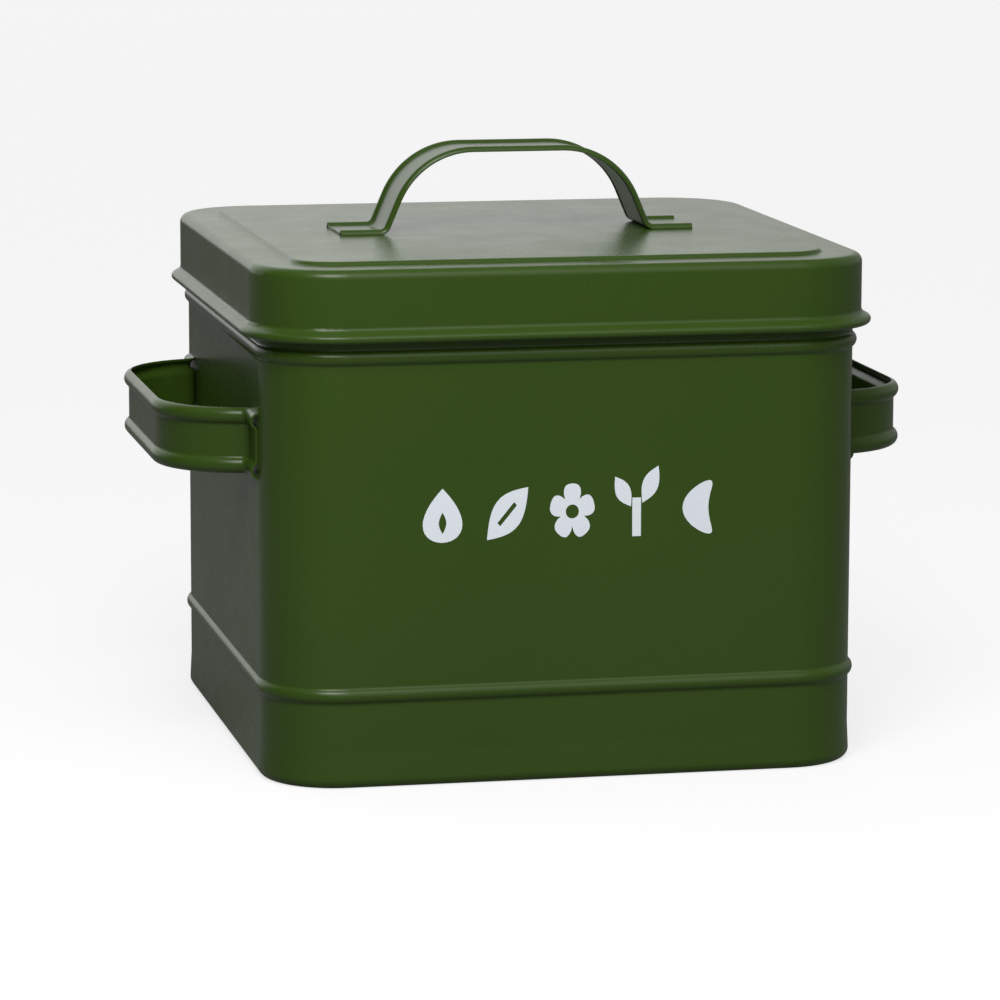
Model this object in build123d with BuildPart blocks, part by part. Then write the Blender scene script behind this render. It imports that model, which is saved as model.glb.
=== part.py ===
"""Seed organizer tin: a square sheet-metal box with a lift-off lid, a strap handle on the lid,
a strap handle on each side, a welded partition and two rows of loose index cards.

Millimetres. X runs along the front, Y from the front to the back, Z up.
The origin is at the middle of the footprint, on the surface that the tin stands on.
"""

import os
from math import acos, asin, atan2, cos, degrees, radians, sin, sqrt, tan

from build123d import *

# ---- driving dimensions -------------------------------------------------------------------------
# tin body
body_width = 200.0
body_depth = 200.0
body_corner_radius = 25.0
body_sheet = 0.6
bottom_flare = 0.45
bottom_flare_height = 12.0
bottom_bend_radius = 3.0
bottom_flange = 5.0
rim_curl_radius = 1.1

# beads rolled into the body wall
lower_bead_height = 30.8
upper_bead_height = 141.6
bead_half_height = 3.0
bead_proud = 1.4
bead_root_radius = 1.2

# lock seam up the back of the body
seam_width = 6.0
seam_proud = 0.6
seam_edge_radius = 0.4

# base pan
pan_sheet = 0.6
pan_flange_height = 9.0
pan_panel_inset = 16.0
pan_panel_raise = 1.4
pan_clearance = 0.1

# lid
lid_top = 170.5
lid_sheet = 0.6
lid_side_gap = 2.2
lid_corner_bend = 3.0
lid_skirt_depth = 23.6
lid_panel_inset = 15.0
lid_panel_raise = 1.2
lid_seat_gap = 0.6
lid_flare_angle = 60.0
lid_flare_bend = 1.6
lid_flare_straight = 1.9
lid_curl_radius = 1.5
lid_curl_mouth = 0.1
step_bend_radius = 1.0

# strap handle on the lid
lid_strap_width = 28.7
lid_strap_sheet = 0.8
lid_strap_bead_radius = 1.8
lid_strap_bead_proud = 1.0
lid_strap_root_radius = 1.0
lid_strap_length = 122.4
lid_strap_foot = 15.4
lid_strap_rise = 27.6
lid_strap_lean = 67.0
lid_strap_foot_bend = 3.0
lid_strap_arm_straight = 9.5

# strap handles on the sides
side_strap_width = 22.0
side_strap_sheet = 0.8
side_strap_bead_radius = 2.85
side_strap_bead_proud = 1.6
side_strap_root_radius = 1.2
side_strap_height = 110.0
side_strap_length = 148.0
side_strap_foot = 13.0
side_strap_rise = 26.8
side_strap_lean = 79.0
side_strap_foot_bend = 3.0
side_strap_arm_straight = 0.5

# partition between the two bays
partition_sheet = 0.8
partition_top = 110.0
partition_flange = 10.0
partition_bend_radius = 1.2
partition_hem = 6.0
partition_notch = 4.0
partition_clearance = 0.3

# index cards
cards_per_bay = 6
card_thickness = 0.8
card_gap = 0.4
card_height = 118.0
card_side_clearance = 1.5
card_back_clearance = 2.0
card_floor_clearance = 0.3
card_corner_radius = 3.0
tab_height = 10.0
tab_corner_radius = 2.5

# ---- derived sizes and places -------------------------------------------------------------------
lid_overhang = lid_side_gap + lid_sheet
panel_top = lid_top + lid_panel_raise
rim_height = lid_top - lid_sheet - lid_seat_gap
pan_ground = body_sheet + pan_clearance
pan_border = pan_ground + pan_sheet
floor_height = pan_border + pan_panel_raise
pan_edge = body_sheet + pan_clearance
pan_bend_radius = bottom_bend_radius - pan_edge
inner_depth = body_depth - 2 * body_sheet


# ---- plans and sections -------------------------------------------------------------------------
def outline(width, depth, radius):
    """Rounded-rectangle plan on the ground, starting and ending at the middle of its back."""
    x, y = width / 2, depth / 2
    with BuildLine() as plan:
        FilletPolyline((0, y), (x, y), (x, -y), (0, -y), radius=radius)
        mirror(about=Plane.YZ)
    return plan.wire()


def section_plane():
    """Plane across the body outline at its start: local x points outward and local y up."""
    return Plane(origin=(0, body_depth / 2, 0), x_dir=(0, 1, 0), z_dir=(1, 0, 0))


def formed_sheet(face, sheet):
    """Closed section of a formed sheet, from the function that draws its face at a given depth."""
    with BuildSketch(section_plane()) as section:
        with BuildLine():
            outer_start, outer_end = face(0)
            inner_start, inner_end = face(sheet)
            Line(outer_start, inner_start)
            Line(outer_end, inner_end)
        make_face()
    return section.sketch


def bead(height, below):
    """A bead rolled outward in the body wall, drawn this far below the sheet's outer surface."""
    radii = (bead_proud**2 + bead_half_height**2) / (2 * bead_proud)
    crown = radii - bead_root_radius
    slope = degrees(atan2(bead_half_height, radii - bead_proud))
    root_x, low, high = bead_root_radius, height - bead_half_height, height + bead_half_height
    CenterArc((root_x, low), bead_root_radius + below, 180, -slope)
    CenterArc((bead_proud - crown, height), crown - below, -slope, 2 * slope)
    CenterArc((root_x, high), bead_root_radius + below, 180 + slope, -slope)


def step_down(x, y, rise, sheet, below):
    """A pressed step that falls from a panel at (x, y); returns where its upper face ends."""
    upper, lower = step_bend_radius + sheet, step_bend_radius
    turn = degrees(acos(1 - rise / (upper + lower)))
    run = (upper + lower) * sin(radians(turn))
    CenterArc((x, y - upper), upper - below, 90, -turn)
    CenterArc((x + run, y - rise + lower), lower + below, 270 - turn, turn)
    return x + run, y - rise


def body_face(below):
    """The body sheet from its bottom flange up to the end of the rim curl."""
    foot_x = bottom_flare - bottom_bend_radius
    curl = rim_curl_radius - body_sheet
    curl_height = rim_height - rim_curl_radius
    flange = Line((-bottom_flange, below), (foot_x, below))
    bend = CenterArc((foot_x, bottom_bend_radius), bottom_bend_radius - below, -90, 90)
    Line(bend @ 1, (-below, bottom_flare_height))
    Line((-below, bottom_flare_height), (-below, lower_bead_height - bead_half_height))
    bead(lower_bead_height, below)
    Line((-below, lower_bead_height + bead_half_height), (-below, upper_bead_height - bead_half_height))
    bead(upper_bead_height, below)
    Line((-below, upper_bead_height + bead_half_height), (-below, curl_height))
    rim = CenterArc((curl, curl_height), curl + below, 180, -270)
    return flange @ 0, rim @ 1


def lid_face(below):
    """The lid sheet from the top of its panel step to the end of the curl at its flared foot."""
    start = (lid_overhang - lid_panel_inset, panel_top - below)
    skirt_x = lid_overhang - below
    x, y = step_down(start[0], panel_top, lid_panel_raise, lid_sheet, below)
    Line((x, y - below), (lid_overhang - lid_corner_bend, y - below))
    CenterArc((lid_overhang - lid_corner_bend, y - lid_corner_bend), lid_corner_bend - below, 0, 90)
    out, down = sin(radians(lid_flare_angle)), cos(radians(lid_flare_angle))
    bends = lid_flare_bend + lid_curl_radius
    bend_x = lid_overhang + lid_flare_bend
    curl_x = bend_x + lid_flare_straight * out - bends * down
    curl_y = lid_top - lid_skirt_depth + lid_curl_radius
    flare_y = curl_y + lid_flare_straight * down + bends * out
    open_turn = degrees(acos((lid_curl_radius - lid_sheet - lid_curl_mouth) / lid_curl_radius))
    Line((skirt_x, y - lid_corner_bend), (skirt_x, flare_y))
    flare = CenterArc((bend_x, flare_y), lid_flare_bend + below, 180, lid_flare_angle)
    rim = CenterArc((curl_x, curl_y), lid_curl_radius - below, lid_flare_angle, open_turn - 360)
    Line(flare @ 1, rim @ 0)
    return start, rim @ 1


def pan_face(below):
    """The base pan's sheet from the top of its panel step out to the top of its flange."""
    start = (-pan_edge - pan_panel_inset, floor_height - below)
    bend_x = -pan_edge - pan_bend_radius
    flange_x = -pan_edge - pan_sheet + below
    x, y = step_down(start[0], floor_height, pan_panel_raise, pan_sheet, below)
    Line((x, y - below), (bend_x, y - below))
    CenterArc((bend_x, pan_ground + pan_bend_radius), pan_bend_radius - pan_sheet + below, 270, 90)
    flange = Line((flange_x, pan_ground + pan_bend_radius), (flange_x, pan_ground + pan_flange_height))
    return start, flange @ 1


def strap_path(plane, length, foot, rise, lean, foot_bend, arm_straight):
    """Bent line of a strap handle's outer face: foot, leaning arm, crown, arm and foot.

    Local x runs along the strap, and local y points away from what the strap is fixed to.
    Each shoulder takes all of its arm that the foot bend and this straight leave.
    """
    end_x = length / 2
    bend_x = end_x - foot
    shoulder_x = bend_x - rise / tan(radians(lean))
    shoulder = (rise / sin(radians(lean)) - arm_straight) / tan(radians(lean / 2)) - foot_bend
    with BuildLine(plane) as path:
        FilletPolyline(
            (-end_x, 0),
            (-bend_x, 0),
            (-shoulder_x, rise),
            (shoulder_x, rise),
            (bend_x, 0),
            (end_x, 0),
            radius=[foot_bend, shoulder, shoulder, foot_bend],
        )
    return path.wire()


def strap_section(plane, length, width, sheet, crown, proud, root):
    """Section at the start of a strap whose edges are beads that end level with its inner face.

    Local x runs across the strap and local y is the path's. The web's outer face lies on y = 0.
    """
    radii = crown + root
    across = sqrt(2 * proud * radii - proud**2)
    crown_x = width / 2 - sqrt(crown**2 - (crown - proud - sheet) ** 2)
    root_x = crown_x - across
    slope = degrees(atan2(radii - proud, across))
    ends = []
    start = Plane(plane.from_local_coords((-length / 2, 0)), x_dir=-plane.z_dir, z_dir=plane.x_dir)
    with BuildSketch(start) as section:
        with BuildLine():
            for below in (0, sheet):
                lip = degrees(asin((crown - proud - sheet) / (crown - below)))
                edge = CenterArc((crown_x, proud - crown), crown - below, lip, 180 - slope - lip)
                CenterArc((root_x, root), root + below, -90, 90 - slope)
                Line((0, -below), (root_x, -below))
                ends.append(edge @ 0)
            Line(*ends)
            Line((0, 0), (0, -sheet))
        make_face()
        mirror(about=Plane.YZ)
    return section.sketch


def export(part, name):
    """Label a finished piece and write it as its own STEP file."""
    part.label = name
    export_step(part, f"parts/{name}.step")


os.makedirs("parts", exist_ok=True)
body_plan = outline(body_width, body_depth, body_corner_radius)

# ---- tin body -----------------------------------------------------------------------------------
with BuildPart() as body_shell:
    add(formed_sheet(body_face, body_sheet))
    sweep(path=body_plan)
    seam_top = rim_height - 2 * rim_curl_radius - seam_proud
    with BuildSketch(Plane.XY.offset(bottom_flare_height)) as seam:
        with Locations((0, body_depth / 2 - body_sheet / 2)):
            Rectangle(seam_width, seam_proud + body_sheet / 2, align=(Align.CENTER, Align.MIN))
        fillet(seam.vertices().group_by(Axis.Y)[-1], radius=seam_edge_radius)
    extrude(amount=seam_top - bottom_flare_height)
export(body_shell.part, "body_shell")

with BuildPart() as base_pan:
    add(formed_sheet(pan_face, pan_sheet))
    sweep(path=body_plan)
    inset = pan_edge + pan_panel_inset
    with BuildSketch(Plane.XY.offset(floor_height - pan_sheet)):
        RectangleRounded(body_width - 2 * inset, body_depth - 2 * inset, body_corner_radius - inset)
    extrude(amount=pan_sheet)
export(base_pan.part, "base_pan")

# ---- side handles -------------------------------------------------------------------------------
side_foot = Plane(
    origin=(body_width / 2 + side_strap_sheet, 0, side_strap_height), x_dir=(0, 1, 0), z_dir=(0, 0, -1)
)
with BuildPart() as side_handle_right:
    add(
        strap_section(
            side_foot,
            side_strap_length,
            side_strap_width,
            side_strap_sheet,
            side_strap_bead_radius,
            side_strap_bead_proud,
            side_strap_root_radius,
        )
    )
    sweep(
        path=strap_path(
            side_foot,
            side_strap_length,
            side_strap_foot,
            side_strap_rise,
            side_strap_lean,
            side_strap_foot_bend,
            side_strap_arm_straight,
        )
    )
export(side_handle_right.part, "side_handle_right")

with BuildPart() as side_handle_left:
    mirror(side_handle_right.part, about=Plane.YZ)
export(side_handle_left.part, "side_handle_left")

# ---- lid ----------------------------------------------------------------------------------------
with BuildPart() as lid_pan:
    add(formed_sheet(lid_face, lid_sheet))
    sweep(path=body_plan)
    inset = lid_panel_inset - lid_overhang
    with BuildSketch(Plane.XY.offset(panel_top - lid_sheet)):
        RectangleRounded(body_width - 2 * inset, body_depth - 2 * inset, body_corner_radius - inset)
    extrude(amount=lid_sheet)
export(lid_pan.part, "lid_pan")

lid_foot = Plane(origin=(0, 0, panel_top + lid_strap_sheet), x_dir=(1, 0, 0), z_dir=(0, -1, 0))
with BuildPart() as lid_handle:
    add(
        strap_section(
            lid_foot,
            lid_strap_length,
            lid_strap_width,
            lid_strap_sheet,
            lid_strap_bead_radius,
            lid_strap_bead_proud,
            lid_strap_root_radius,
        )
    )
    sweep(
        path=strap_path(
            lid_foot,
            lid_strap_length,
            lid_strap_foot,
            lid_strap_rise,
            lid_strap_lean,
            lid_strap_foot_bend,
            lid_strap_arm_straight,
        )
    )
export(lid_handle.part, "lid_handle")

# ---- partition ----------------------------------------------------------------------------------
with BuildPart() as partition:
    half = inner_depth / 2
    with BuildSketch(Plane.XY.offset(floor_height)):
        with BuildLine():
            web = partition_sheet / 2
            FilletPolyline(
                (partition_flange - web, -half + web),
                (0, -half + web),
                (0, half - web),
                (partition_flange - web, half - web),
                radius=partition_bend_radius,
            )
            offset(amount=web)
        make_face()
    extrude(amount=partition_top - floor_height)
    notch_top = pan_ground + pan_flange_height + partition_clearance
    with BuildSketch(Plane.XY.offset(floor_height)):
        for end in (-1, 1):
            with Locations((0, end * (half - partition_notch / 2))):
                Rectangle(2 * partition_flange, partition_notch)
    extrude(amount=notch_top - floor_height, mode=Mode.SUBTRACT)
    with BuildSketch(Plane.XZ.offset(partition_bend_radius + partition_sheet - half)):
        with Locations((0, partition_top - partition_hem / 2)):
            SlotOverall(partition_hem, 2 * partition_sheet, rotation=90)
    extrude(amount=2 * (half - partition_bend_radius - partition_sheet))
export(partition.part, "partition")

# ---- index cards --------------------------------------------------------------------------------
floor_edge = pan_edge + pan_bend_radius
back_stop = body_depth / 2 - floor_edge - card_back_clearance
corner_x, corner_y = body_width / 2 - body_corner_radius, body_depth / 2 - body_corner_radius
floor_x = corner_x + sqrt((body_corner_radius - floor_edge) ** 2 - (back_stop - corner_y) ** 2)
card_low_x = partition_sheet / 2 + card_side_clearance
card_width = floor_x - card_side_clearance - card_low_x
card_x = card_low_x + card_width / 2
card_z = pan_border + card_floor_clearance
tab_width = card_width / cards_per_bay


def index_card(name, x, y, place):
    """One card with its back face at y and its tab at this place along the top."""
    with BuildPart() as card:
        with BuildSketch(Plane.XZ.offset(-y)):
            with Locations((x, card_z)):
                RectangleRounded(
                    card_width, card_height, card_corner_radius, align=(Align.CENTER, Align.MIN)
                )
            tab_x = x - card_width / 2 + (place + 0.5) * tab_width
            tab_low = card_z + card_height - card_corner_radius - tab_corner_radius
            with Locations((tab_x, tab_low)):
                RectangleRounded(
                    tab_width,
                    tab_height + card_corner_radius + tab_corner_radius,
                    tab_corner_radius,
                    align=(Align.CENTER, Align.MIN),
                )
        extrude(amount=card_thickness)
    export(card.part, name)


for bay, side in (("left", -1), ("right", 1)):
    for place in range(cards_per_bay):
        card_y = back_stop - place * (card_thickness + card_gap)
        index_card(f"card_{bay}_{place + 1}", side * card_x, card_y, place)
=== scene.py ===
import math

import bpy
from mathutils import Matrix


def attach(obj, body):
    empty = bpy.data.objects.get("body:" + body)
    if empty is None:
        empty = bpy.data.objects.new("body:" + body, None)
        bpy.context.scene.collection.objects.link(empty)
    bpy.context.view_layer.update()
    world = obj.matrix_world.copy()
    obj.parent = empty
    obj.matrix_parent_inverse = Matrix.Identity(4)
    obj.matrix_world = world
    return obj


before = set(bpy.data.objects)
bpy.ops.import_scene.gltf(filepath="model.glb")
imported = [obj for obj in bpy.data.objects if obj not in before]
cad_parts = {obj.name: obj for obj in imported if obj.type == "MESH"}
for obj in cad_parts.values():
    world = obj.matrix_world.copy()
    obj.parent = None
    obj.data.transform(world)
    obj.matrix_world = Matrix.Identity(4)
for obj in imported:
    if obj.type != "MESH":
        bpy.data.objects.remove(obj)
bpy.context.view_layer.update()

camera_place = (-0.3484, -1.5999, 0.3511)
camera_angles = (80.491, -0.143, -12.157)
camera_lens_mm = 172.3
camera_clip = (0.05, 50.0)
sensor_mm = 36.0

floor_size = 30.0
floor_white = 0.31
floor_glow = 0.74

# the room's own level of light, and its soft patches: bearing from +X, elevation, reach and strength
room_level = 0.05
room_patches = (
    (102, 16, 50, 1.1),
    (15, 12, 60, 0.4),
    (-84, 37, 38, 1.2),
    (-90, 78, 50, 0.35),
)

# soft lamp in front of the tin
key_place = (-0.2, -0.54, 0.64)
key_aim = (-0.04, -0.1, 0.15)
key_size = 0.32
key_power = 3.4

# colours, as 0 to 255 screen values, and roughness
coat_dark, coat_light = (54, 79, 22), (58, 82, 25)
coat_gloss = (0.23, 0.33)
coat_edge_radius = 0.0004
card_dark, card_light = (172, 142, 104), (196, 168, 130)
ink_colour, ink_worn = (242, 249, 255), (222, 230, 240)
ink_gloss = (0.32, 0.46)

front_y = -0.1
motif_pitch = 0.0216
motif_middle_x = -0.0005
motif_low_z = 0.0806
motif_width = 0.0146
motif_height = 0.0178
motif_thickness = 0.00012


# ---- helpers ------------------------------------------------------------------------------------
def linear(colour):
    """Colour written as 0 to 255 screen values, as Blender's linear values."""
    values = []
    for channel in colour:
        share = channel / 255
        values.append(share / 12.92 if share <= 0.04045 else ((share + 0.055) / 1.055) ** 2.4)
    return (*values, 1.0)


class Shader:
    """A material's node tree with a Principled surface and short calls for adding to it."""

    def __init__(self, name):
        self.material = bpy.data.materials.new(name)
        self.material.use_nodes = True
        self.nodes = self.material.node_tree.nodes
        self.links = self.material.node_tree.links
        self.surface = self.nodes["Principled BSDF"]
        self.place = self.node("ShaderNodeTexCoord").outputs["Object"]

    def node(self, kind, **settings):
        made = self.nodes.new(kind)
        for key, value in settings.items():
            setattr(made, key, value)
        return made

    def join(self, source, target):
        self.links.new(source, target)

    def set(self, **values):
        for key, value in values.items():
            self.surface.inputs[key.replace("_", " ")].default_value = value

    def noise(self, scale, detail=3.0, roughness=0.5, stretch=None):
        """Noise in the piece's own place, with this many features to a metre."""
        made = self.node("ShaderNodeTexNoise")
        made.inputs["Scale"].default_value = scale
        made.inputs["Detail"].default_value = detail
        made.inputs["Roughness"].default_value = roughness
        if stretch:
            mapping = self.node("ShaderNodeMapping")
            mapping.inputs["Scale"].default_value = stretch
            self.join(self.place, mapping.inputs["Vector"])
            self.join(mapping.outputs["Vector"], made.inputs["Vector"])
        else:
            self.join(self.place, made.inputs["Vector"])
        return made.outputs["Fac"]

    def ramp(self, source, *stops):
        """Colours or levels at places along a value."""
        made = self.node("ShaderNodeValToRGB")
        elements = made.color_ramp.elements
        while len(elements) < len(stops):
            elements.new(0.5)
        for element, (place, colour) in zip(elements, stops):
            element.position = place
            element.color = colour if isinstance(colour, tuple) else (colour, colour, colour, 1.0)
        self.join(source, made.inputs["Fac"])
        return made.outputs["Color"]

    def mix(self, share, first, second, blend="MIX"):
        made = self.node("ShaderNodeMix", data_type="RGBA", blend_type=blend)
        for slot, value in (("Factor", share), ("A", first), ("B", second)):
            wanted = "VALUE" if slot == "Factor" else "RGBA"
            socket = next(s for s in made.inputs if s.name == slot and s.type == wanted)
            if isinstance(value, bpy.types.NodeSocket):
                self.join(value, socket)
            else:
                socket.default_value = value
        return next(s for s in made.outputs if s.type == "RGBA")

    def level(self, source, low, high):
        """A value between 0 and 1 taken to between low and high."""
        made = self.node("ShaderNodeMapRange")
        made.inputs["To Min"].default_value = low
        made.inputs["To Max"].default_value = high
        self.join(source, made.inputs["Value"])
        return made.outputs["Result"]

    def bump(self, source, distance, strength=1.0, normal=None):
        made = self.node("ShaderNodeBump")
        made.inputs["Distance"].default_value = distance
        made.inputs["Strength"].default_value = strength
        self.join(source, made.inputs["Height"])
        if normal:
            self.join(normal, made.inputs["Normal"])
        return made.outputs["Normal"]


# ---- materials ----------------------------------------------------------------------------------
def powder_coat():
    """Satin green powder coat on sheet metal: orange peel, faint waves of the sheet, soft edges."""
    shader = Shader("green_powder_coat")
    shader.set(IOR=1.36)
    cloud = shader.noise(9.0, detail=4.0)
    base = shader.ramp(cloud, (0.3, linear(coat_dark)), (0.7, linear(coat_light)))
    fleck = shader.ramp(shader.noise(2600.0, detail=1.0), (0.30, 0.86), (0.42, 1.0))
    shader.join(shader.mix(1.0, base, fleck, "MULTIPLY"), shader.surface.inputs["Base Color"])
    gloss = shader.level(shader.noise(60.0, detail=5.0, roughness=0.6), *coat_gloss)
    shader.join(gloss, shader.surface.inputs["Roughness"])
    edge = shader.node("ShaderNodeBevel", samples=4)
    edge.inputs["Radius"].default_value = coat_edge_radius
    wave = shader.bump(shader.noise(14.0, detail=1.0), 0.0012, 0.25, edge.outputs["Normal"])
    peel = shader.bump(shader.noise(850.0, detail=2.0), 0.00003, 0.6, wave)
    shader.join(peel, shader.surface.inputs["Normal"])
    return shader.material


def card_stock():
    """Unbleached card: flecked fibres, a faint crosswise grain and a dry surface."""
    shader = Shader("index_card")
    shader.set(IOR=1.4, Roughness=0.85)
    grain = shader.noise(420.0, detail=5.0, stretch=(1.0, 1.0, 0.25))
    base = shader.ramp(grain, (0.3, linear(card_dark)), (0.7, linear(card_light)))
    fibre = shader.ramp(shader.noise(1500.0, detail=2.0, stretch=(0.2, 1.0, 1.0)), (0.28, 0.72), (0.4, 1.0))
    shader.join(shader.mix(1.0, base, fibre, "MULTIPLY"), shader.surface.inputs["Base Color"])
    shader.join(shader.bump(grain, 0.00008, 0.5), shader.surface.inputs["Normal"])
    return shader.material


def printed_ink():
    """White film of ink with fine pinholes and a slightly uneven sheen."""
    shader = Shader("white_ink")
    shader.set(IOR=1.45)
    pinholes = shader.noise(1900.0, detail=2.0)
    speck = shader.ramp(pinholes, (0.30, linear(ink_worn)), (0.36, linear(ink_colour)))
    shader.join(speck, shader.surface.inputs["Base Color"])
    shader.join(shader.level(shader.noise(300.0), *ink_gloss), shader.surface.inputs["Roughness"])
    shader.join(shader.bump(shader.noise(1100.0, detail=2.0), 0.00002, 0.4), shader.surface.inputs["Normal"])
    return shader.material


def dress(node, material):
    """Give a CAD node its material in every slot."""
    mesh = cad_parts[node].data
    if not mesh.materials:
        mesh.materials.append(material)
    for place in range(len(mesh.materials)):
        mesh.materials[place] = material


green = powder_coat()
card = card_stock()
white_ink = printed_ink()
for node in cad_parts:
    dress(node, card if node.startswith("card_") else green)


# ---- white motifs on the front ------------------------------------------------------------------
def turns(steps):
    """Angles evenly spaced once round."""
    return [2 * math.pi * step / steps for step in range(steps)]


def leaf_outline(root, tip, width, steps=18):
    """Pointed oval from root to tip: two equal arcs whose widest place is this wide."""
    (x0, z0), (x1, z1) = root, tip
    length = math.hypot(x1 - x0, z1 - z0)
    along = ((x1 - x0) / length, (z1 - z0) / length)
    points = []
    for side in (1, -1):
        for step in range(steps):
            share = step / steps if side == 1 else 1 - step / steps
            reach = length * share
            out = side * width / 2 * math.sin(math.pi * share)
            points.append((x0 + along[0] * reach - along[1] * out, z0 + along[1] * reach + along[0] * out))
    return points


def round_outline(middle, radius_x, radius_z, steps=28):
    """Oval about a middle point."""
    return [
        (middle[0] + radius_x * math.cos(angle), middle[1] + radius_z * math.sin(angle))
        for angle in turns(steps)
    ]


def seed_outline(width, height, steps=36):
    """Drop that stands on its round end, with its point up."""
    widest = 1.54  # of sin(a) * sin(a / 2), from side to side
    return [
        (width / widest * math.sin(angle) * math.sin(angle / 2), height * (1 + math.cos(angle)) / 2)
        for angle in turns(steps)
    ]


def flower_outline(middle, radius, notch, petals=5, steps=80):
    """Round petals about a middle point, with notches this deep between them."""
    points = []
    for angle in turns(steps):
        out = radius - notch * (1 - abs(math.cos(petals * (angle - math.pi / 2) / 2))) ** 2
        points.append((middle[0] + out * math.cos(angle), middle[1] + out * math.sin(angle)))
    return points


def bean_outline(middle, width, height, bend, steps=36):
    """Oval whose two ends are bent over to the right."""
    points = []
    for angle in turns(steps):
        x = width / 2 * math.cos(angle) + bend * (math.sin(angle) ** 2 - 0.5)
        points.append((middle[0] + x, middle[1] + height / 2 * math.sin(angle)))
    return points


def bar_outline(low, high, width):
    """Straight bar between two points."""
    (x0, z0), (x1, z1) = low, high
    length = math.hypot(x1 - x0, z1 - z0)
    x, z = -(z1 - z0) / length * width / 2, (x1 - x0) / length * width / 2
    return [(x0 + x, z0 + z), (x0 - x, z0 - z), (x1 - x, z1 - z), (x1 + x, z1 + z)]


def motif(name, place, *outlines):
    """A printed shape on the front, this many places from the middle one.

    Its filled outlines are in shares of the motif's width and height, and one in another is a hole.
    """
    middle = motif_middle_x + place * motif_pitch
    curve = bpy.data.curves.new(name, "CURVE")
    curve.dimensions = "2D"
    curve.fill_mode = "BOTH"
    curve.extrude = motif_thickness / 2
    for outline in outlines:
        spline = curve.splines.new("POLY")
        spline.points.add(len(outline) - 1)
        for point, (x, z) in zip(spline.points, outline):
            point.co = (x * motif_width, z * motif_height, 0.0, 1.0)
        spline.use_cyclic_u = True
    piece = bpy.data.objects.new(name, curve)
    piece.location = (middle, front_y - motif_thickness / 2, motif_low_z)
    piece.rotation_euler = (math.radians(90), 0, 0)
    bpy.context.scene.collection.objects.link(piece)
    curve.materials.append(white_ink)
    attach(piece, "tin")


motif("motif_seed", -2, seed_outline(0.9, 1.0), leaf_outline((0, 0.16), (0, 0.56), 0.17))
motif(
    "motif_leaf",
    -1,
    leaf_outline((-0.47, 0.02), (0.47, 0.98), 0.66),
    bar_outline((-0.2, 0.3), (0.18, 0.68), 0.09),
)
motif("motif_flower", 0, flower_outline((0, 0.5), 0.52, 0.24), round_outline((0, 0.5), 0.15, 0.13))
motif(
    "motif_sprout",
    1,
    bar_outline((0, 0), (0, 0.72), 0.2),
    leaf_outline((-0.13, 0.56), (-0.5, 1.12), 0.34),
    leaf_outline((0.13, 0.62), (0.5, 1.3), 0.36),
)
motif("motif_bean", 2, bean_outline((0.04, 0.5), 0.6, 1.0, 0.32))


# ---- studio -------------------------------------------------------------------------------------
def floor():
    """Pale floor, white to the camera, that keeps the shadow."""
    mesh = bpy.data.meshes.new("studio_floor")
    half = floor_size / 2
    corners = [(-half, -half, 0), (half, -half, 0), (half, half, 0), (-half, half, 0)]
    mesh.from_pydata(corners, [], [(0, 1, 2, 3)])
    piece = bpy.data.objects.new("studio_floor", mesh)
    bpy.context.scene.collection.objects.link(piece)
    shader = Shader("studio_white")
    shader.set(Base_Color=(floor_white, floor_white, floor_white, 1.0), Emission_Color=(1.0, 1.0, 1.0, 1.0))
    shader.set(Roughness=0.9, Specular_IOR_Level=0.1)
    path = shader.node("ShaderNodeLightPath")
    glow = shader.level(path.outputs["Is Camera Ray"], 0.0, floor_glow)
    shader.join(glow, shader.surface.inputs["Emission Strength"])
    mesh.materials.append(shader.material)


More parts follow.
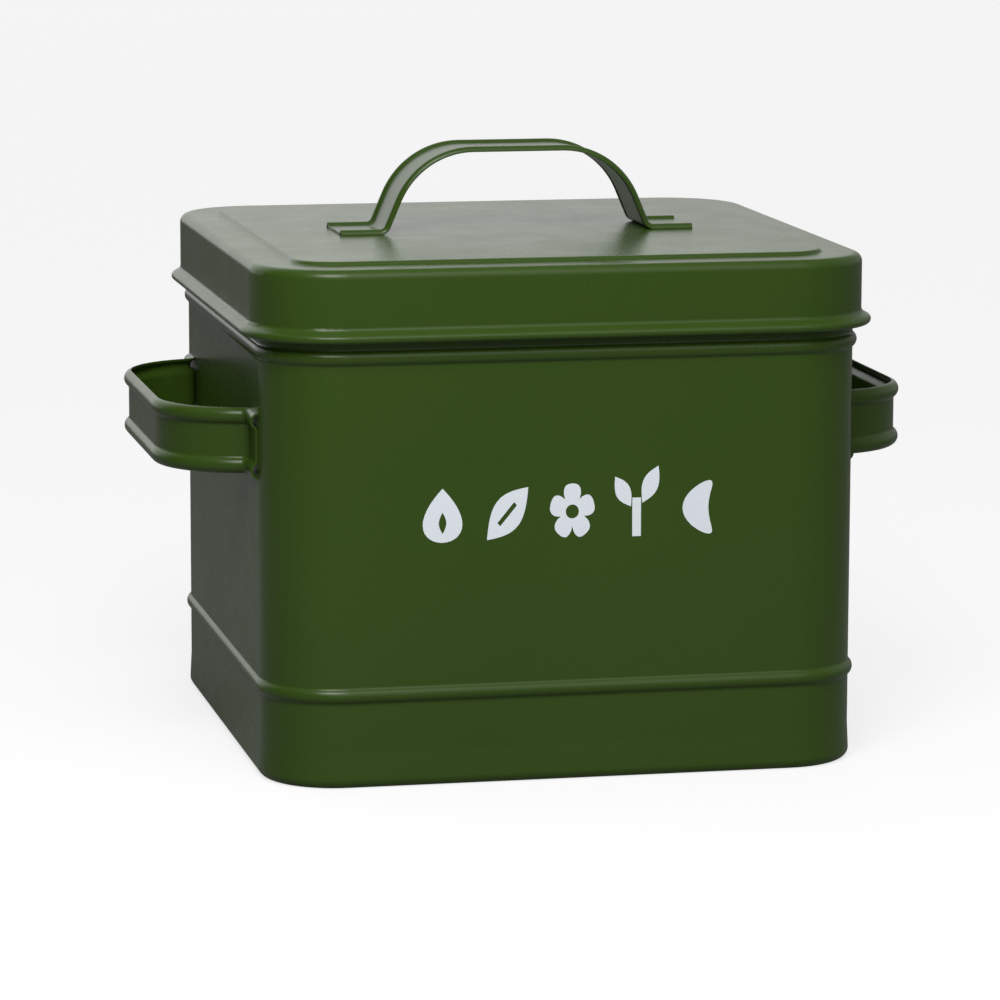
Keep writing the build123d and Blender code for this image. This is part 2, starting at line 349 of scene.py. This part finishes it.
def surroundings():
    """Dim room with soft patches of light in it; plain white to the camera."""
    world = bpy.data.worlds.new("studio")
    bpy.context.scene.world = world
    world.use_nodes = True
    nodes, links = world.node_tree.nodes, world.node_tree.links
    background = nodes["Background"]
    background.inputs["Color"].default_value = (1.0, 1.0, 1.0, 1.0)
    place = nodes.new("ShaderNodeTexCoord")
    light = None
    for bearing, elevation, reach, strength in room_patches:
        turn, up = math.radians(bearing), math.radians(elevation)
        toward = (math.cos(turn) * math.cos(up), math.sin(turn) * math.cos(up), math.sin(up))
        near = nodes.new("ShaderNodeVectorMath")
        near.operation = "DOT_PRODUCT"
        links.new(place.outputs["Generated"], near.inputs[0])
        near.inputs[1].default_value = toward
        fade = nodes.new("ShaderNodeMapRange")
        fade.interpolation_type = "SMOOTHSTEP"
        fade.inputs["From Min"].default_value = math.cos(math.radians(reach))
        fade.inputs["To Max"].default_value = strength
        links.new(near.outputs["Value"], fade.inputs["Value"])
        total = nodes.new("ShaderNodeMath")
        links.new(fade.outputs["Result"], total.inputs[0])
        total.inputs[1].default_value = room_level
        if light:
            links.new(light, total.inputs[1])
        light = total.outputs["Value"]
    path = nodes.new("ShaderNodeLightPath")
    pick = nodes.new("ShaderNodeMix")
    links.new(path.outputs["Is Camera Ray"], pick.inputs["Factor"])
    links.new(light, pick.inputs["A"])
    pick.inputs["B"].default_value = 1.0
    links.new(pick.outputs["Result"], background.inputs["Strength"])


def softbox(name, place, aim, size, power):
    """Square soft lamp at a place, facing a point."""
    lamp = bpy.data.lights.new(name, "AREA")
    lamp.shape = "SQUARE"
    lamp.size = size
    lamp.energy = power
    piece = bpy.data.objects.new(name, lamp)
    bpy.context.scene.collection.objects.link(piece)
    piece.location = place
    away = [here - there for here, there in zip(place, aim)]
    flat = math.hypot(away[0], away[1])
    piece.rotation_euler = (math.atan2(flat, away[2]), 0, math.atan2(away[0], -away[1]))


def camera():
    """Camera at the fitted place and angles."""
    data = bpy.data.cameras.new("camera")
    data.sensor_width = sensor_mm
    data.lens = camera_lens_mm
    data.clip_start, data.clip_end = camera_clip
    piece = bpy.data.objects.new("camera", data)
    piece.location = camera_place
    piece.rotation_euler = [math.radians(angle) for angle in camera_angles]
    bpy.context.scene.collection.objects.link(piece)
    bpy.context.scene.camera = piece


floor()
surroundings()
softbox("key_light", key_place, key_aim, key_size, key_power)
camera()
bpy.context.scene.view_settings.view_transform = "Standard"
